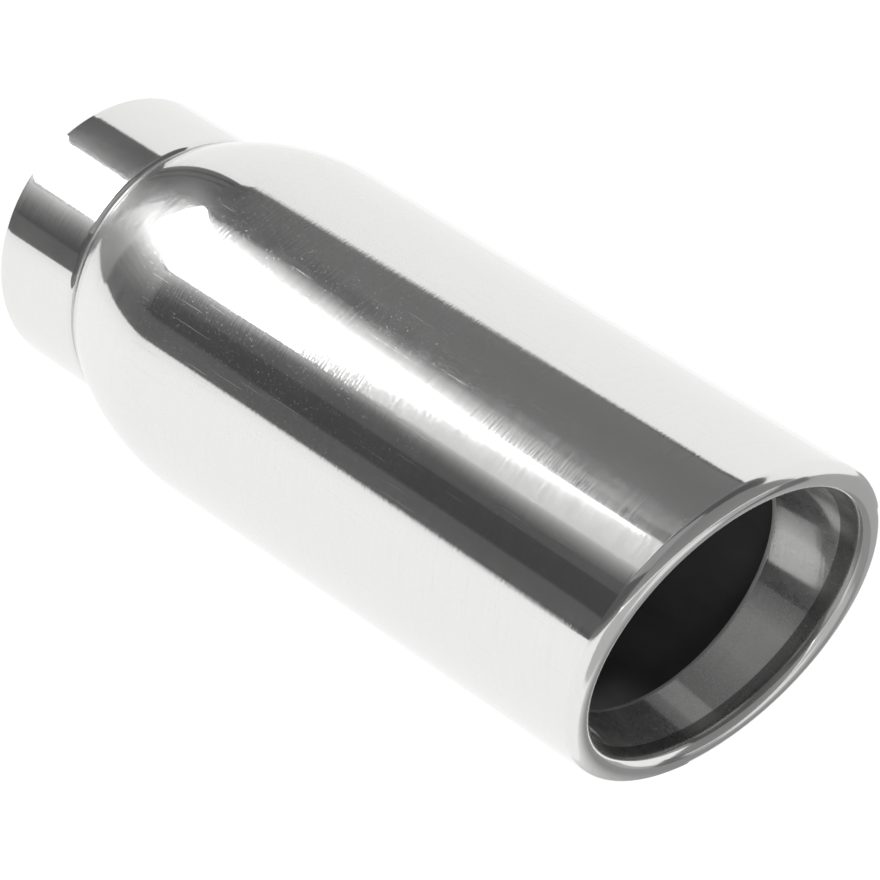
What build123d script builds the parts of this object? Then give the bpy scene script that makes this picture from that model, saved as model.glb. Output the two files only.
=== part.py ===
from build123d import *
import os
from math import radians, sqrt, tan

# Millimetres. Origin: centre of the inlet mouth on the tube axis.
# +X runs along the tube to the outlet, +Z is the long side of the angle cut.

wall = 1.5  # sheet the shell and the collar are made of
pipe_d = 57.15  # 2.25 inch exhaust pipe that slides into the collar
pipe_clearance = 0.25  # radial gap between that pipe and the collar's bore
collar_length = 24.8
collar_edge_round = 0.3  # dressed outer edge of the inlet mouth

body_r = 38.1  # 3 inch body, outside radius
body_length = 135.4  # straight body, from the neck to the middle of the rolled lip on the axis
shoulder_r = 67.5  # convex arc of the swaged neck, tangent to the body
weld_width = 0.8  # butt weld between collar and neck, dressed flush
weld_rise = 0.2  # how far the bead climbs from the collar to the neck

cut_angle = 16.3  # angle cut of the outlet, from square
lip_r = 2.83  # outside radius of the rolled lip
land = 0.1  # left flat between the two rounds of the lip

flange_depth = 19  # how far the flange turned into the mouth reaches, on the axis
flange_taper = 2.8  # how much its inside radius shrinks over that depth
flange_end_angle = 7.9  # its free end leans the same way as the cut, but less

bore_r = pipe_d / 2 + pipe_clearance
collar_r = bore_r + wall
neck_start = collar_length + weld_width
neck_start_r = collar_r + weld_rise
neck_rise = body_r - neck_start_r
neck_length = sqrt(2 * shoulder_r * neck_rise - neck_rise**2)
body_x = neck_start + neck_length  # where the neck runs into the straight body
cut_x = body_x + body_length
mouth_r = body_r - 2 * lip_r  # inside radius at the lip
flange_end_x = cut_x - flange_depth
flange_end_r = mouth_r - flange_taper
past_lip = 40  # rough stock beyond the cut
core_start = -0.5  # the mouth's cutting core starts this many flange lengths inside its free end
core_end = 2  # and stops one flange length beyond the lip


def neck_and_body(inset):
    """Solid of the neck and body, its skin moved in by inset."""
    start = (neck_start, neck_start_r - inset)
    shoulder_end = (body_x, body_r - inset)
    middle_x = (neck_start + body_x) / 2
    rise = sqrt(shoulder_r**2 - (body_x - middle_x) ** 2) - shoulder_r
    end_x = cut_x + past_lip
    with BuildPart() as solid:
        with BuildSketch(Plane.XY):
            with BuildLine():
                ThreePointArc(start, (middle_x, body_r - inset + rise), shoulder_end)
                Polyline(shoulder_end, (end_x, body_r - inset), (end_x, 0), (neck_start, 0), start)
            make_face()
        revolve(axis=Axis.X)
    return solid.part


def cut_plane(beyond):
    """Plane of the angle cut, moved out of the lip's middle by beyond."""
    normal = Vector(1, 0, 0).rotate(Axis.Y, cut_angle)
    return Plane(origin=Vector(cut_x, 0, 0) + normal * beyond, z_dir=normal)


def lip_face(solid, beyond):
    """Flat face that the cut leaves on a solid."""
    plane = cut_plane(beyond)
    return solid.faces().sort_by(lambda face: (face.center() - plane.origin).dot(plane.z_dir))[-1]


def cut_and_bored(solid, beyond, core, round_r):
    """Trim a solid on the cut plane, take the mouth's core out and roll both edges over."""
    trimmed = split(solid, bisect_by=cut_plane(beyond), keep=Keep.BOTTOM)
    rolled = fillet(lip_face(trimmed, beyond).outer_wire().edges(), round_r)
    bored = rolled - core
    return fillet(lip_face(bored, beyond).inner_wires()[0].edges(), round_r)


def flange_section(share, thick):
    """Oval of the return flange; share is 0 at its free end and 1 at the lip."""
    r = flange_end_r + share * (mouth_r - flange_end_r)
    x = flange_end_x + share * (cut_x - flange_end_x)
    end_lean = flange_end_r * tan(radians(flange_end_angle))
    lean = (end_lean + share * (mouth_r * tan(radians(cut_angle)) - end_lean)) / r
    plane = Plane(origin=(x, 0, 0), x_dir=(lean, 0, 1), z_dir=(1, 0, -lean))
    return Wire(Edge.make_ellipse((r + thick) * sqrt(1 + lean**2), r + thick, plane))


def flange_core(low, high, thick):
    """Solid inside the return flange, grown by thick to hold the flange's own wall."""
    return Solid.make_loft([flange_section(low, thick), flange_section(high, thick)], True)


def outer_shell():
    """Swaged neck, straight body, rolled lip and the flange turned back into the mouth."""
    mouth_core = flange_core(core_start, core_end, 0)
    flange_and_mouth = flange_core(0, core_end, wall)
    skin = cut_and_bored(neck_and_body(0), lip_r, mouth_core, lip_r - land)
    fold_r = lip_r - wall
    hollow = cut_and_bored(neck_and_body(wall), fold_r, flange_and_mouth, fold_r - land)
    return skin - hollow


def inlet_collar():
    tube = Plane.YZ * Cylinder(collar_r, collar_length, align=(Align.CENTER, Align.CENTER, Align.MIN))
    mouth = tube.edges().filter_by(GeomType.CIRCLE).sort_by(Axis.X)[0]
    tube = fillet(mouth, collar_edge_round)
    return tube - Plane.YZ * Cylinder(bore_r, collar_length, align=(Align.CENTER, Align.CENTER, Align.MIN))


def seam_weld():
    """Narrow band of weld through the wall, sloping from the collar up to the neck."""
    with BuildPart() as ring:
        with BuildSketch(Plane.XY):
            Polygon(
                (collar_length, bore_r),
                (neck_start, neck_start_r - wall),
                (neck_start, neck_start_r),
                (collar_length, collar_r),
                align=None,
            )
        revolve(axis=Axis.X)
    return ring.part


os.makedirs("parts", exist_ok=True)
export_step(inlet_collar(), "parts/inlet_collar.step")
export_step(outer_shell(), "parts/outer_shell.step")
export_step(seam_weld(), "parts/seam_weld.step")
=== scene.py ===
import bpy
import numpy as np
from math import asin, cos, pi, radians, sin, sqrt, tan
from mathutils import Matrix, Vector


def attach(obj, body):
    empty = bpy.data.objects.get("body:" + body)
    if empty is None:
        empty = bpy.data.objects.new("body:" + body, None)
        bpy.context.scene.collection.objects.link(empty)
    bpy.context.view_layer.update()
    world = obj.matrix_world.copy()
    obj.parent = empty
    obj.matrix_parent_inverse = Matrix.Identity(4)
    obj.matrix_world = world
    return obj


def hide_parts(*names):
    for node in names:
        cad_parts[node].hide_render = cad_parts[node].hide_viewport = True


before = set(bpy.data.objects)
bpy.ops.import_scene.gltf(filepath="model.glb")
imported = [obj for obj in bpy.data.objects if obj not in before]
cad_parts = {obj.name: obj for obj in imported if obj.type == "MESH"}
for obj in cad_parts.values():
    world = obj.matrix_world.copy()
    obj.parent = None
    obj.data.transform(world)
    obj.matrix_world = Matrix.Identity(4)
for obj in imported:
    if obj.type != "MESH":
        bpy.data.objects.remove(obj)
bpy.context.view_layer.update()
mm = 0.001

# Angle-cut exhaust tip of polished stainless tube: +X to the outlet, +Z to the long side of the cut.
# The tip's own sizes are in millimetres, the studio's in metres.
around = 480  # points in each ring of sheet metal
turn = np.linspace(0, 2 * pi, around, endpoint=False)  # 0 is straight up
outward = np.stack([0 * turn, np.sin(turn), np.cos(turn)], axis=1)
alongTube = np.array([1.0, 0.0, 0.0])


def ringAt(x, r):
    return outward * r + np.outer(np.broadcast_to(x, turn.shape), alongTube)


def leaningRing(x, r, lean):
    return ringAt(x + r * lean * np.cos(turn), r)  # a plane cut across the tube, leaning with the angle cut


def between(first, last, gaps):
    return [first + (last - first) * k / gaps for k in range(1, gaps)]


def roundedCorner(before, corner, after, r, gaps=4):
    # a small round in place of a sheet's sheared corner
    back = (before - corner) / np.linalg.norm(before - corner, axis=1)[:, None]
    on = (after - corner) / np.linalg.norm(after - corner, axis=1)[:, None]
    start, end = corner + back * r, corner + on * r
    return [(1 - k) ** 2 * start + 2 * k * (1 - k) * corner + k**2 * end for k in np.linspace(0, 1, gaps + 1)]


def sheetMetal(name, rings, finishes):
    # rings close on themselves both ways; finishes holds the material of each gap between rings
    points = np.concatenate(rings) * mm
    materials = list(dict.fromkeys(finishes))
    count = len(rings)
    faces = []
    slots = []
    for i in range(count):
        a, b = i * around, (i + 1) % count * around
        for j in range(around):
            k = (j + 1) % around
            faces.append((a + j, a + k, b + k, b + j))
        slots += [materials.index(finishes[i])] * around
    data = bpy.data.meshes.new(name)
    data.from_pydata(points.tolist(), [], faces)
    for material in materials:
        data.materials.append(material)
    data.polygons.foreach_set("material_index", slots)
    data.polygons.foreach_set("use_smooth", [True] * len(faces))
    data.update()
    piece = bpy.data.objects.new(name, data)
    bpy.context.collection.objects.link(piece)
    return piece


def linear(hexColour):
    channels = [int(hexColour[k:k + 2], 16) / 255 for k in (1, 3, 5)]
    return [c / 12.92 if c <= 0.04045 else ((c + 0.055) / 1.055) ** 2.4 for c in channels] + [1.0]


def addNode(tree, kind, values=None, links=None, **options):
    made = tree.nodes.new(kind)
    for option, value in options.items():
        setattr(made, option, value)
    for socket, value in (values or {}).items():
        made.inputs[socket].default_value = value
    for socket, source in (links or {}).items():
        tree.links.new(source, made.inputs[socket])
    return made


def newMaterial(name):
    material = bpy.data.materials.new(name)
    material.use_nodes = True
    material.node_tree.nodes.clear()
    return material, material.node_tree


rangeSockets = (1, 2, 3, 4)  # of a Map Range node: from low, from high, to low, to high
colourSockets = (6, 7)  # of a Mix node that mixes colours

# Polished stainless tube, swaged and then buffed on a wheel: a mirror that keeps faint rings from the wheel,
# so highlights smear along the tube, and a weak glow from the last cloth. Shares are (mm from the inlet,
# value): the neck and the collar are harder to reach and stay hazier than the body.
polish = {
    "colour": "#e7e7e6",
    "mirrorRoughness": 0.05,
    "wheelRoughness": 0.22,  # the smear along the tube, made by the wheel's rings
    "clothRoughness": 0.37,  # the weak glow all round, made by the last cloth
    "smear": {"Anisotropic": 1.0, "Anisotropic Rotation": 0.25},  # a quarter turn, so it runs along the tube
    "wheelShare": [
        (0, 0.03), (22, 0.05), (27, 0.14), (38, 0.12), (48, 0.07), (90, 0.025), (120, 0.028), (206, 0.03)
    ],
    "clothShare": [
        (0, 0.08), (22, 0.09), (27, 0.17), (40, 0.12), (60, 0.04), (90, 0.025), (140, 0.017), (206, 0.017)
    ],
    "ringSpacing": 0.6,  # mm, coarser than the real 0.05 mm grit lines so that they show
    "ringLength": 10,  # mm round the tube
    "ringBump": 0.045,
    "ringContrast": (0.33, 0.67, 0.1, 2.2),
    "ringColour": "#e5e5e4",  # in the bottom of the rings
    "ringShade": (0.35, 0.5, 0.0, 1.0),
    "smudgeSize": (14, 9, 9),  # mm
    "smudgeContrast": (0.35, 0.65, 0.6, 1.4),
    "pitSize": 0.48,  # mm between pits, larger than the real 0.1 mm ones so that they show
    "pitDepth": (0.62, 0.72, 0.0, 0.5),
    "pitShare": [(0, 0.25), (44, 0.25), (56, 0.75), (100, 0.7), (140, 0.35), (206, 0.15)],
    "scratchWidth": 0.3,  # mm
    "scratchLength": 16,  # mm
    "scratchDepth": (0.74, 0.84, 0.0, 0.4),
    "bumpHeight": 0.2,  # mm
}


def everywhere(share):
    return [(0, share), (206, share)]


# Lip and return flange: rolled cold after the tube was polished, then only brushed, so they shine softly.
lipFinish = {
    **polish,
    "mirrorRoughness": 0.11,
    "clothRoughness": 0.28,
    "wheelShare": everywhere(0.04),
    "clothShare": everywhere(0.12),
    "pitShare": everywhere(0.1),
}
flangeFinish = {
    **polish,
    "mirrorRoughness": 0.09,
    "clothRoughness": 0.5,
    "wheelShare": everywhere(0.15),
    "clothShare": everywhere(0.27),
    "pitShare": everywhere(0.6),
}

# Bottom of the groove behind the roll: the wheel never reached it, so it stays dull; its colour is painted
# darker as shade in the groove.
grooveShadeFinish = {**flangeFinish, "colour": "#9c9c9b", "ringColour": "#9a9a99", "mirrorRoughness": 0.16}

# Free end of the flange: sheared, then deburred with a file, so it is rougher and catches light; its colour
# is also painted lighter as a highlight along this fine pale line.
edgeHighlightFinish = {
    **flangeFinish,
    "colour": "#efefee",
    "ringColour": "#ececeb",
    "mirrorRoughness": 0.3,
    "clothShare": everywhere(0.7),
}


def alongTubeRamp(tree, alongIt, stops):
    # a value that changes along the tube; stops are (mm from the inlet, value)
    last = stops[-1][0]
    share = addNode(tree, "ShaderNodeMath", {1: 1 / (last * mm)}, {0: alongIt}, operation="MULTIPLY")
    ramp = addNode(tree, "ShaderNodeValToRGB", links={0: share.outputs[0]})
    points = ramp.color_ramp.elements
    while len(points) < len(stops):
        points.new(0.5)
    for point, (x, value) in zip(points, stops):
        point.position = x / last
    for point, (x, value) in zip(points, stops):
        point.color = (value, value, value, 1)
    return ramp.outputs["Color"]


def stretchedNoise(tree, place, size, **values):
    # noise whose grains are size mm long in x, y and z
    scale = [1 / (length * mm) for length in size]
    stretched = addNode(tree, "ShaderNodeVectorMath", {1: scale}, {0: place}, operation="MULTIPLY")
    noise = addNode(tree, "ShaderNodeTexNoise", {"Scale": 1.0, **values}, {"Vector": stretched.outputs[0]})
    return noise.outputs["Fac"]


def wheelRings(tree, place, look):
    spacing, length = look["ringSpacing"], look["ringLength"]
    return stretchedNoise(tree, place, (spacing, length, length), Detail=4.0, Roughness=0.65)


def wheelHaze(tree, rings, alongIt, look):
    # how much of the steel smears light along the tube: more in the stronger rings
    contrast = dict(zip(rangeSockets, look["ringContrast"]))
    streaks = addNode(tree, "ShaderNodeMapRange", contrast, {0: rings}).outputs[0]
    share = alongTubeRamp(tree, alongIt, look["wheelShare"])
    haze = addNode(tree, "ShaderNodeMath", links={0: share, 1: streaks}, operation="MULTIPLY", use_clamp=True)
    return haze.outputs[0]


def pitsAndScratches(tree, place, alongIt, look):
    pits = stretchedNoise(tree, place, (look["pitSize"],) * 3, Detail=2.0, Roughness=0.8)
    pitMask = addNode(tree, "ShaderNodeMapRange", dict(zip(rangeSockets, look["pitDepth"])), {0: pits})
    width = look["scratchWidth"]
    scratches = stretchedNoise(tree, place, (look["scratchLength"], width, width), Detail=0.0)
    scratchDepth = dict(zip(rangeSockets, look["scratchDepth"]))
    scratchMask = addNode(tree, "ShaderNodeMapRange", scratchDepth, {0: scratches})
    either = {0: pitMask.outputs[0], 1: scratchMask.outputs[0]}
    marks = addNode(tree, "ShaderNodeMath", links=either, operation="MAXIMUM").outputs[0]
    share = alongTubeRamp(tree, alongIt, look["pitShare"])
    return addNode(tree, "ShaderNodeMath", links={0: marks, 1: share}, operation="MULTIPLY").outputs[0]


def clothHaze(tree, place, alongIt, look):
    # how much of the steel glows softly: the cloth's smudges, and every pit and scratch
    smudges = stretchedNoise(tree, place, look["smudgeSize"], Detail=5.0, Roughness=0.6)
    contrast = dict(zip(rangeSockets, look["smudgeContrast"]))
    smudge = addNode(tree, "ShaderNodeMapRange", contrast, {0: smudges}).outputs[0]
    share = alongTubeRamp(tree, alongIt, look["clothShare"])
    cloth = addNode(tree, "ShaderNodeMath", links={0: share, 1: smudge}, operation="MULTIPLY").outputs[0]
    marks = pitsAndScratches(tree, place, alongIt, look)
    haze = addNode(tree, "ShaderNodeMath", links={0: cloth, 1: marks}, operation="ADD", use_clamp=True)
    return haze.outputs[0]


def polishedStainless(name, look):
    material, tree = newMaterial(name)
    place = addNode(tree, "ShaderNodeTexCoord").outputs["Object"]
    alongIt = addNode(tree, "ShaderNodeSeparateXYZ", links={0: place}).outputs["X"]
    rings = wheelRings(tree, place, look)
    wheelShare = wheelHaze(tree, rings, alongIt, look)
    clothShare = clothHaze(tree, place, alongIt, look)
    relief = {"Strength": look["ringBump"], "Distance": look["bumpHeight"] * mm}
    bump = addNode(tree, "ShaderNodeBump", relief, {"Height": rings})
    depth = addNode(tree, "ShaderNodeMapRange", dict(zip(rangeSockets, look["ringShade"])), {0: rings})
    colours = dict(zip(colourSockets, (linear(look["ringColour"]), linear(look["colour"]))))
    shade = addNode(tree, "ShaderNodeMix", colours, {0: depth.outputs[0]}, data_type="RGBA")
    roundTube = addNode(tree, "ShaderNodeTangent", direction_type="RADIAL", axis="X")
    surface = {"Normal": bump.outputs["Normal"], "Base Color": shade.outputs[2]}
    steel = {"Metallic": 1.0, "Roughness": look["mirrorRoughness"]}
    mirror = addNode(tree, "ShaderNodeBsdfPrincipled", steel, surface).outputs[0]
    steel = {"Metallic": 1.0, "Roughness": look["wheelRoughness"], **look["smear"]}
    ringed = {**surface, "Tangent": roundTube.outputs["Tangent"]}
    wheel = addNode(tree, "ShaderNodeBsdfPrincipled", steel, ringed).outputs[0]
    steel = {"Metallic": 1.0, "Roughness": look["clothRoughness"]}
    cloth = addNode(tree, "ShaderNodeBsdfPrincipled", steel, surface).outputs[0]
    wheeled = addNode(tree, "ShaderNodeMixShader", links={0: wheelShare, 1: mirror, 2: wheel}).outputs[0]
    finished = addNode(tree, "ShaderNodeMixShader", links={0: clothShare, 1: wheeled, 2: cloth}).outputs[0]
    addNode(tree, "ShaderNodeOutputMaterial", links={"Surface": finished})
    return material


# Raw stainless tube inside: never polished and dulled by the rolling mill; its colour is a dark, even grey.
rawInside = {
    "colour": "#6e6e6e",
    "patchColour": "#616161",
    "patchSize": (30, 12, 12),  # mm
    "patchContrast": (0.35, 0.65, 0.0, 1.0),
    "grainSize": 0.8,  # mm
    "bump": 0.15,
    "bumpHeight": 0.2,  # mm
    "metallic": 0.4,
    "roughness": 0.55,
}

# Dressed weld: ground flush and brushed by hand, so it is a thin matt line between two mirrors.
weldFinish = {
    **rawInside,
    "colour": "#c8c8c8",
    "patchColour": "#b8b8b7",
    "patchSize": (0.8, 1.6, 1.6),
    "grainSize": 0.5,
    "bump": 0.25,
    "metallic": 1.0,
    "roughness": 0.32,
}


def plainSteel(name, look):
    # a dull base with uneven patches and a fine grain
    material, tree = newMaterial(name)
    place = addNode(tree, "ShaderNodeTexCoord").outputs["Object"]
    patches = stretchedNoise(tree, place, look["patchSize"], Detail=4.0, Roughness=0.6)
    grain = stretchedNoise(tree, place, (look["grainSize"],) * 3, Detail=3.0)
    contrast = dict(zip(rangeSockets, look["patchContrast"]))
    patch = addNode(tree, "ShaderNodeMapRange", contrast, {0: patches}).outputs[0]
    colours = dict(zip(colourSockets, (linear(look["patchColour"]), linear(look["colour"]))))
    shade = addNode(tree, "ShaderNodeMix", colours, {0: patch}, data_type="RGBA")
    relief = {"Strength": look["bump"], "Distance": look["bumpHeight"] * mm}
    bump = addNode(tree, "ShaderNodeBump", relief, {"Height": grain})
    steel = addNode(
        tree,
        "ShaderNodeBsdfPrincipled",
        {"Metallic": look["metallic"], "Roughness": look["roughness"]},
        {"Base Color": shade.outputs[2], "Normal": bump.outputs["Normal"]},
    )
    addNode(tree, "ShaderNodeOutputMaterial", links={"Surface": steel.outputs["BSDF"]})
    return material


polished = polishedStainless("polished_stainless", polish)
rolledLip = polishedStainless("rolled_lip_steel", lipFinish)
brushedFlange = polishedStainless("brushed_flange_steel", flangeFinish)
# painted shade: the groove behind the roll is coloured darker
grooveShadedSteel = polishedStainless("groove_painted_shade_steel", grooveShadeFinish)
# painted highlight: the flange's free end is coloured lighter
edgeHighlightSteel = polishedStainless("sheet_edge_painted_highlight", edgeHighlightFinish)
raw = plainSteel("raw_inside_steel", rawInside)
welded = plainSteel("dressed_weld", weldFinish)
print("materials made")

# Inlet collar: a square-cut length of tube that slips over the exhaust pipe.
collar = {
    "length": 24.8,
    "boreR": 28.825,
    "wall": 1.5,
    "mouthRound": 0.3,  # on the outer corner of the mouth
    "boreRound": 0.2,
    "mouthGaps": 6,
    "gaps": 14,  # between its rings, along it
}
collarR = collar["boreR"] + collar["wall"]


def inletCollar():
    length, bore = collar["length"], collar["boreR"]
    mouthIn, mouthOut = ringAt(0, bore), ringAt(0, collarR)
    endIn, endOut = ringAt(length, bore), ringAt(length, collarR)
    mouth = roundedCorner(endIn, mouthIn, mouthOut, collar["boreRound"])
    mouth += roundedCorner(mouthIn, mouthOut, endOut, collar["mouthRound"], collar["mouthGaps"])
    shown = mouth + between(mouth[-1], endOut, collar["gaps"]) + [endOut]
    hidden = [endIn] + between(endIn, mouth[0], collar["gaps"])
    finishes = [polished] * (len(shown) - 1) + [raw] * (len(hidden) + 1)
    piece = sheetMetal("inlet_collar_tube", shown + hidden, finishes)
    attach(piece, "root")
    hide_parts("inlet_collar")


# Seam weld: a dressed ring between the collar and the neck, through the whole wall.
weld = {
    "width": 0.8,
    "rise": 0.2,
    "gaps": 8,
}
neckStart = collar["length"] + weld["width"]
neckStartR = collarR + weld["rise"]


def seamWeld():
    low, high = collar["length"], neckStart
    lowRing, highRing = ringAt(low, collarR), ringAt(high, neckStartR)
    outer = [lowRing] + between(lowRing, highRing, weld["gaps"]) + [highRing]
    inner = [ringAt(high, neckStartR - collar["wall"]), ringAt(low, collar["boreR"])]
    piece = sheetMetal("seam_weld_band", outer + inner, [welded] * (len(outer) + len(inner)))
    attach(piece, "root")
    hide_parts("seam_weld")


# Outer shell: one sheet from the swaged neck to the rolled lip and the flange turned back into the mouth.
shell = {
    "wall": 1.5,
    "bodyR": 38.1,
    "bodyLength": 135.4,
    "shoulderR": 67.5,
    "cutAngle": 16.3,
    "lipR": 2.83,
    "flangeDepth": 19.0,
    "flangeTaper": 2.8,
    "flangeEndAngle": 7.9,
    "sheetEdgeRound": 0.2,
    "neckRings": 28,
    "bodyGaps": 24,
    "lipRings": 40,
    "flangeGaps": 22,
    "flangeBackGaps": 10,
    "foldRings": 12,
    "insideGaps": 14,
    "grooveLipGaps": 8,  # how many gaps of the lip and of the flange lie in the groove painted darker as shade
    "grooveFlangeGaps": 3,
}
neckRise = shell["bodyR"] - neckStartR
neckAngle = asin(sqrt(2 * shell["shoulderR"] * neckRise - neckRise**2) / shell["shoulderR"])
bodyX = neckStart + shell["shoulderR"] * sin(neckAngle)
cutX = bodyX + shell["bodyLength"]
spineR = shell["bodyR"] - shell["lipR"]  # the middle of the rolled lip runs at this radius
cutLean = tan(radians(shell["cutAngle"]))
flangeEndR = shell["bodyR"] - 2 * shell["lipR"] - shell["flangeTaper"]
flangeEndX = cutX - shell["flangeDepth"]


def roll(r, swing):
    # a ring on the rolled lip: swing 0 is its outermost line, pi its innermost
    spine = leaningRing(cutX, spineR, cutLean)
    run = np.roll(spine, -1, axis=0) - np.roll(spine, 1, axis=0)
    run /= np.linalg.norm(run, axis=1)[:, None]
    forward = np.cross(run, outward)
    forward *= np.sign(forward[:, :1])
    swing = np.broadcast_to(swing, turn.shape)[:, None]
    return spine + r * (np.cos(swing) * outward + np.sin(swing) * forward)


def neckRings(inset):
    # from the weld to the bend, the sheet's outside when inset is 0
    rings = []
    for angle in np.linspace(neckAngle, 0, shell["neckRings"]):
        drop = shell["shoulderR"] * (1 - cos(angle))
        rings.append(ringAt(bodyX - shell["shoulderR"] * sin(angle), shell["bodyR"] - inset - drop))
    return rings


def rollEnd(flangeEnd):
    # the swing at which the roll points straight down the flange, found in a few passes
    swing = np.full(turn.shape, pi)
    spread = roll(1, pi / 2) - roll(0, 0)
    for _ in range(4):
        reach = flangeEnd - roll(shell["lipR"], swing)
        closing = -np.sum(reach * outward, axis=1)
        swing = pi - np.arctan2(closing, -reach[:, 0] * spread[:, 0])
    return swing


def outerShell():
    wall, lipR, edgeR = shell["wall"], shell["lipR"], shell["sheetEdgeRound"]
    endLean = tan(radians(shell["flangeEndAngle"]))
    freeInside = leaningRing(flangeEndX, flangeEndR, endLean)
    freeOutside = leaningRing(flangeEndX, flangeEndR + wall, endLean)
    swing = rollEnd(freeInside)
    lip = [roll(lipR, swing * k) for k in np.linspace(0, 1, shell["lipRings"])]
    fold = [roll(lipR - wall, swing * k) for k in np.linspace(1, 0, shell["foldRings"])]
    edge = roundedCorner(lip[-1], freeInside, freeOutside, edgeR)
    edge += roundedCorner(freeInside, freeOutside, fold[0], edgeR)
    neck, inside = neckRings(0), neckRings(wall)[::-1]
    body = neck + between(neck[-1], lip[0], shell["bodyGaps"])
    flange = between(lip[-1], edge[0], shell["flangeGaps"])
    hidden = between(edge[-1], fold[0], shell["flangeBackGaps"]) + fold
    hidden += between(fold[-1], inside[0], shell["insideGaps"]) + inside
    lipGroove, flangeGroove = shell["grooveLipGaps"], shell["grooveFlangeGaps"]
    finishes = [polished] * len(body)
    finishes += [rolledLip] * (len(lip) - lipGroove) + [grooveShadedSteel] * (lipGroove + flangeGroove)
    finishes += [brushedFlange] * (len(flange) - flangeGroove - 1)
    finishes += [edgeHighlightSteel] * (len(edge) + 1) + [raw] * len(hidden)
    piece = sheetMetal("outer_shell_sheet", body + lip + flange + edge + hidden, finishes)
    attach(piece, "root")
    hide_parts("outer_shell")


outerShell()
inletCollar()
seamWeld()
print("tip built")

# Studio: white table and wall, one soft box and a dim room, all seen only in the steel and as light.
studio = {
    "room": 0.095,
    "backdrop": 1.0,
    "wallY": 0.9,
    "far": 3.0,
    "sideFar": 2.91,
    "lampFar": 2.5,
    "stripFar": 2.4,
    "standFar": 0.3,
    "mouthX": 0.19,
    "mouthCardR": 0.033,
    "lipCardR": 0.0473,
    "tableDrop": 0.25,
    "tableColour": "#333333",
    "tableRoughness": 0.8,
    "tableGlow": 0.97,
    "nearDrop": 0.2,  # the cards that stand for the table in front of the mouth
    "sheetDrop": 0.08,
    "shadowDrop": 0.062,
}
brightness = {  # of each card, where the backdrop is 1
    "white_wall": 1.0,
    "soft_box": 18.0,
    "soft_box_side": 0.6,
    "ceiling": 0.18,
    "dark_panel": 0.06,
    "low_panel": 0.115,
    "light_stand": 0.03,
    "front_room": 0.24,
    "front_lamp": 3.0,
    "back_room": 0.33,
    "side_room": 0.17,
    "front_table": 0.5,
    "front_sheet": 0.85,
    "lip_glint": 1.2,
    "front_strip": 1.3,
    "front_stand": 0.14,
    "grey_table": 0.42,
    "table_shadow": 0.29,
    "mouth_panel": 0.62,
}
nearness = {  # share of the far distance at which a card ahead stands; a nearer one covers those behind it
    "box_left_rim": 0.885,
    "box_top_rim": 0.888,
    "box_low_rim": 0.89,
    "soft_box": 0.9,
    "box_top_edge": 0.91,
    "box_left_edge": 0.92,
    "box_low_edge": 0.93,
    "box_side_edge": 0.94,
    "soft_box_side": 0.95,
    "light_stand": 0.95,
    "wall_glow": 0.97,
}
fades = {  # brightness at the two sides of each edge that fades
    "box_low_rim": (14.0, 0.6),
    "box_left_rim": (14.0, 1.25),
    "box_top_rim": (14.0, 1.35),
    "box_low_edge": (0.55, 0.10),
    "box_left_edge": (1.2, 0.66),
    "box_top_edge": (1.3, 0.27),
    "box_side_edge": (0.5, 0.12),
    "wall_glow": (0.45, 0.2),
    "table_shadow_edge": (0.29, 0.85),
    "mouth_panel_edge": (0.55, 0.28),
}


def glow(name, strength):
    material, tree = newMaterial(name)
    light = addNode(tree, "ShaderNodeEmission", {"Color": linear("#ffffff"), "Strength": strength})
    addNode(tree, "ShaderNodeOutputMaterial", links={"Surface": light.outputs["Emission"]})
    return material


def card(name, corners, strength=None):
    data = bpy.data.meshes.new(name)
    data.from_pydata(corners, [], [list(range(len(corners)))])
    data.materials.append(glow(name, brightness[name] if strength is None else strength))
    piece = bpy.data.objects.new(name, data)
    bpy.context.collection.objects.link(piece)
    piece.visible_camera = False
    piece.visible_shadow = False
    return piece


def gradedEdge(name, start, end, fade=None, steps=8):
    # strips that fade from one line of places to another, as the cloth of a soft box does at its rim
    first, last = fade or fades[name]
    made = []
    for step in range(steps):
        near = [Vector(a).lerp(Vector(b), step / steps) for a, b in zip(start, end)]
        off = [Vector(a).lerp(Vector(b), (step + 1) / steps) for a, b in zip(start, end)]
        strength = first * (last / first) ** ((step + 0.5) / steps)
        made.append(card(f"{name}_{step + 1}", near + off[::-1], strength))
    return made


def ahead(name, corners):
    # places seen in the body: p to the +Y side and q up, as slopes from the -X direction
    distance = studio["far"] * nearness.get(name, 1.0)
    return [(-distance, p * distance, q * distance) for p, q in corners]


def roundMouth(corners, distance):
    # places seen from the mouth: degrees round from +X toward +Y, and degrees up
    spots = []
    for az, el in corners:
        flat = distance * cos(radians(el))
        x, y = studio["mouthX"] + flat * cos(radians(az)), flat * sin(radians(az))
        spots.append((x, y, distance * sin(radians(el))))
    return spots


def inMouth(corners):
    # places inside the tube's wall behind the flange; corners are (mm from the inlet, degrees from the top)
    r = studio["mouthCardR"]
    return [(x * mm, r * sin(radians(turned)), r * cos(radians(turned))) for x, turned in corners]


def besideLip(offset, turned):
    # a place outside the lip's far side; offset is mm ahead of the lip, turned is degrees round from the top
    middle = cutX + spineR * cutLean * cos(radians(turned))
    r = studio["lipCardR"]
    return ((middle + offset) * mm, r * sin(radians(turned)), r * cos(radians(turned)))


def cardAhead(name, corners):
    card(name, ahead(name, corners))


def edgeAhead(name, start, end):
    gradedEdge(name, ahead(name, start), ahead(name, end))


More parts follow.
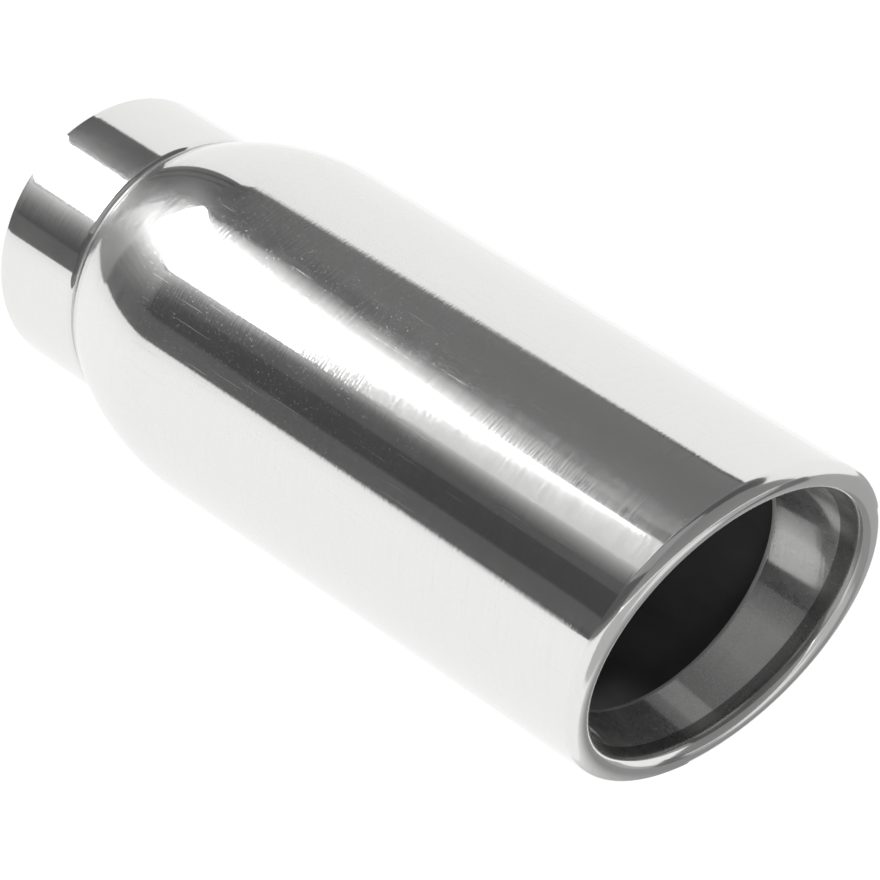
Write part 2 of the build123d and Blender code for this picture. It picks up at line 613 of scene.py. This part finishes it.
def softBox():
    low = [(0.0, 0.83), (-0.20, 0.46), (-0.80, 0.70)]
    left = [(-0.79, 0.74), (-0.737, 0.808), (-0.668, 0.91), (-0.631, 0.979)]
    left += [(-0.605, 1.04), (-0.602, 1.088), (-0.6, 1.152)]
    top = [(-0.563, 1.109), (-0.483, 1.061), (-0.386, 1.025), (-0.346, 1.004), (-0.16, 0.985)]
    cardAhead("soft_box", low + left + top)
    # bright rims just inside its outline
    start, end = [(-0.189, 0.488), (-0.789, 0.728)], [(-0.2045, 0.449), (-0.8045, 0.689)]
    edgeAhead("box_low_rim", start, end)
    start = [(-0.765, 0.735), (-0.717, 0.793), (-0.647, 0.896), (-0.609, 0.968)]
    start += [(-0.581, 1.034), (-0.577, 1.088), (-0.575, 1.15)]
    edgeAhead("box_left_rim", start, left)
    start = [(-0.575, 1.087), (-0.493, 1.037), (-0.394, 1.0), (-0.35, 0.979), (-0.163, 0.96)]
    edgeAhead("box_top_rim", start, top)
    # its glow on the cloth round it
    end = [(-0.353, 1.237), (-0.273, 1.173), (-0.194, 1.114), (-0.111, 1.091), (-0.10, 1.0)]
    edgeAhead("box_top_edge", top, end)
    end = [(-0.805, 0.735), (-0.80, 0.79), (-0.79, 0.82), (-0.756, 0.871)]
    end += [(-0.72, 0.944), (-0.706, 1.003), (-0.711, 1.06)]
    edgeAhead("box_left_edge", left, end)
    start = [(-0.20, 0.46), (-0.50, 0.58), (-0.745, 0.635), (-0.802, 0.695), (-0.853, 0.739)]
    end = [(-0.33, 0.02), (-0.62, 0.14), (-0.944, 0.257), (-0.935, 0.505), (-0.893, 0.69)]
    edgeAhead("box_low_edge", start, end)
    # the grey side of the box, with a soft lower edge
    side = [(-0.79, 0.70), (-1.25, 1.11), (-0.9, 1.6), (-0.58, 1.2), (-0.72, 0.875)]
    cardAhead("soft_box_side", side)
    start = [(-0.793, 0.754), (-0.844, 0.803), (-0.90, 0.856), (-0.964, 0.917), (-1.10, 1.05)]
    end = [(-0.835, 0.708), (-0.93, 0.702), (-1.043, 0.678), (-1.124, 0.712), (-1.25, 0.80)]
    edgeAhead("box_side_edge", start, end)


def roomAhead():
    wallEdge = [(-2.16, -0.25), (1.05, -0.25), (1.05, 1.30), (-1.15, 1.42), (-1.35, 1.49), (-1.57, 1.61)]
    wallEdge += [(-1.80, 1.74), (-2.16, 1.80)]
    card("white_wall", [(x, studio["wallY"], z) for x, z in wallEdge])
    ceilingEdge = [(0.55, 0.93), (0.23, 1.045), (0.083, 1.1), (0.0, 1.14), (-0.16, 1.16), (-0.45, 1.2)]
    ceilingEdge += [(-0.8, 2.6), (1.6, 2.6)]
    cardAhead("ceiling", ceilingEdge)
    cardAhead("dark_panel", [(-0.74, 0.22), (-1.6, 0.22), (-1.6, 0.72), (-0.74, 0.42)])
    cardAhead("low_panel", [(-0.3, -0.06), (-1.6, -0.06), (-1.6, 0.22), (-0.3, 0.22)])
    edgeAhead("wall_glow", [(-0.34, 0.42), (0.04, 0.42)], [(-0.34, -0.12), (0.04, -0.12)])
    stands = [(0.355, -0.3, 0.02, 1.1), (0.30, -0.1, 0.012, 0.85), (-0.565, -0.05, 0.014, 0.5)]
    for number, (p, q, width, height) in enumerate(stands):
        corners = ahead("light_stand", [(p, q), (p + width, q), (p + width, q + height), (p, q + height)])
        card(f"light_stand_{number + 1}", corners, brightness["light_stand"])


def roomBehindCamera():
    far = studio["far"]
    card("front_room", roundMouth([(-60, -3), (48, -3), (48, 70), (-60, 70)], far))
    card("front_lamp", roundMouth([(-53, -5), (-37, -5), (-35, 17), (-53, 17)], studio["lampFar"]))
    card("back_room", roundMouth([(-126, 28), (-52, 28), (-52, 80), (-126, 80)], far))
    card("side_room", roundMouth([(-120, -18), (-50, -18), (-50, 3), (-120, 3)], studio["sideFar"]))
    card("front_strip", roundMouth([(-32, -9), (-20, -9), (11, 16), (8, 27), (-28, 8)], studio["stripFar"]))
    card("front_stand", roundMouth([(37, -42), (50, -42), (50, 2), (37, 2)], studio["standFar"]))


def tableCards():
    drop = -studio["nearDrop"]
    frontEdge = [(0.33, -0.2), (0.33, 0.03), (1.5, 0.03), (1.5, -1.6), (0.6, -0.9)]
    card("front_table", [(x, y, drop) for x, y in frontEdge])
    greyEdge = [(0.21, 0.03), (1.5, 0.03), (1.5, 2.0), (-0.3, 2.0), (-0.1, 0.4)]
    card("grey_table", [(x, y, drop) for x, y in greyEdge])
    sheetEdge = [(0.31, -0.03), (0.6, -0.05), (0.6, 0.085), (0.4, 0.085), (0.31, 0.07)]
    card("front_sheet", [(x, y, -studio["sheetDrop"]) for x, y in sheetEdge])
    drop = -studio["shadowDrop"]
    shadowEdge = [(0.17, 0.012), (0.235, 0.012), (0.235, 0.06), (0.17, 0.06)]
    card("table_shadow", [(x, y, drop) for x, y in shadowEdge])
    start, end = [(0.17, 0.012, drop), (0.235, 0.012, drop)], [(0.16, -0.028, drop), (0.25, -0.028, drop)]
    gradedEdge("table_shadow_edge", start, end)


def lipGlints():
    # pale strips beside the lip's far side, as (degrees round from the top, mm ahead of the lip at each edge)
    glintEdge = [(82, -5, 2), (100, -4.5, 3), (120, -4, 4.5), (140, -3.5, 5), (160, -3, 4.5), (172, -2.5, 3)]
    for number, (one, two) in enumerate(zip(glintEdge, glintEdge[1:])):
        corners = [besideLip(one[1], one[0]), besideLip(one[2], one[0])]
        corners += [besideLip(two[2], two[0]), besideLip(two[1], two[0])]
        card(f"lip_glint_{number + 1}", corners, brightness["lip_glint"])


def mouthGlowCards():
    # small glowing cards inside the mouth that light nothing and show only in reflections: painted
    # reflections, which the brushed flange shows as pale panels
    panel = [(150.3, 192), (150.3, 233), (162.3, 231), (163.2, 222), (163.2, 205), (162.6, 197), (161.6, 192)]
    made = [card("mouth_panel", inMouth(panel))]
    start, end = inMouth([panel[0], panel[-1]]), inMouth([(152, 165), (162.5, 165)])
    made += gradedEdge("mouth_panel_edge", start, end, steps=5)
    low, high = 150, 166  # mm from the inlet
    glowStrips = [  # degrees round from the top where each starts and ends, and its brightness at each
        (256, 286, 0.1, 0.24),
        (286, 330, 0.26, 0.24),
        (330, 362, 0.23, 0.15),
        (362, 382, 0.15, 0.13),
        (383, 408, 0.27, 0.25),
        (408, 424, 0.17, 0.12),
    ]
    for number, (start, end, first, last) in enumerate(glowStrips):
        edges = [inMouth([(low, turned), (high, turned)]) for turned in (start, end)]
        made += gradedEdge(f"mouth_reflector_{number + 1}", *edges, fade=(first, last), steps=4)
    for piece in made:
        piece.visible_diffuse = False


def paleTable():
    tableEdge = [(-8.6, 6), (6, 6), (6, -6), (-1.25, -6), (-1.5, -2.12), (-1.6, -2.21), (-2.29, -2.9)]
    tableEdge += [(-3.25, -3.77), (-4.49, -4.73), (-5.45, -5.36), (-8.6, -4.44)]
    data = bpy.data.meshes.new("pale_table")
    corners = [(x, y, -studio["tableDrop"]) for x, y in tableEdge]
    data.from_pydata(corners, [], [list(range(len(corners)))])
    material, tree = newMaterial("pale_table")
    values = {"Base Color": linear(studio["tableColour"]), "Roughness": studio["tableRoughness"]}
    values |= {"Emission Color": linear("#ffffff"), "Emission Strength": studio["tableGlow"]}
    shade = addNode(tree, "ShaderNodeBsdfPrincipled", values)
    addNode(tree, "ShaderNodeOutputMaterial", links={"Surface": shade.outputs["BSDF"]})
    data.materials.append(material)
    table = bpy.data.objects.new("pale_table", data)
    bpy.context.collection.objects.link(table)


def roomLight():
    # the camera sees a white backdrop, and the steel sees a dim room
    world = bpy.data.worlds.new("studio")
    bpy.context.scene.world = world
    world.use_nodes = True
    world.node_tree.nodes.clear()
    tree = world.node_tree
    seen = addNode(tree, "ShaderNodeLightPath").outputs["Is Camera Ray"]
    white = linear("#ffffff")
    room = addNode(tree, "ShaderNodeBackground", {"Color": white, "Strength": studio["room"]})
    backdrop = addNode(tree, "ShaderNodeBackground", {"Color": white, "Strength": studio["backdrop"]})
    mixed = addNode(tree, "ShaderNodeMixShader", links={0: seen, 1: room.outputs[0], 2: backdrop.outputs[0]})
    addNode(tree, "ShaderNodeOutputWorld", links={"Surface": mixed.outputs[0]})
    bpy.context.scene.view_settings.view_transform = "Standard"


softBox()
roomAhead()
roomBehindCamera()
tableCards()
lipGlints()
mouthGlowCards()
paleTable()
roomLight()
print("studio lit")

# Camera at the photograph's viewing angle, aimed at the tube's axis.
shot = {
    "azimuth": 50.88,  # degrees
    "elevation": 31.73,
    "aimX": 107.64,  # mm
    "distance": 1194.2,
    "lens": 245.45,
    "sensor": 36,
    "clip": (0.05, 50),  # m
}


def photoCamera():
    side, high = radians(shot["azimuth"]), radians(shot["elevation"])
    back = Vector((sin(side) * cos(high), -cos(side) * cos(high), sin(high)))
    data = bpy.data.cameras.new("camera")
    data.lens = shot["lens"]
    data.sensor_width = shot["sensor"]
    data.clip_start, data.clip_end = shot["clip"]
    camera = bpy.data.objects.new("camera", data)
    bpy.context.collection.objects.link(camera)
    camera.location = Vector((shot["aimX"] * mm, 0, 0)) + back * shot["distance"] * mm
    camera.rotation_mode = "QUATERNION"
    camera.rotation_quaternion = (-back).to_track_quat("-Z", "Y")
    bpy.context.scene.camera = camera


photoCamera()
print("camera placed")
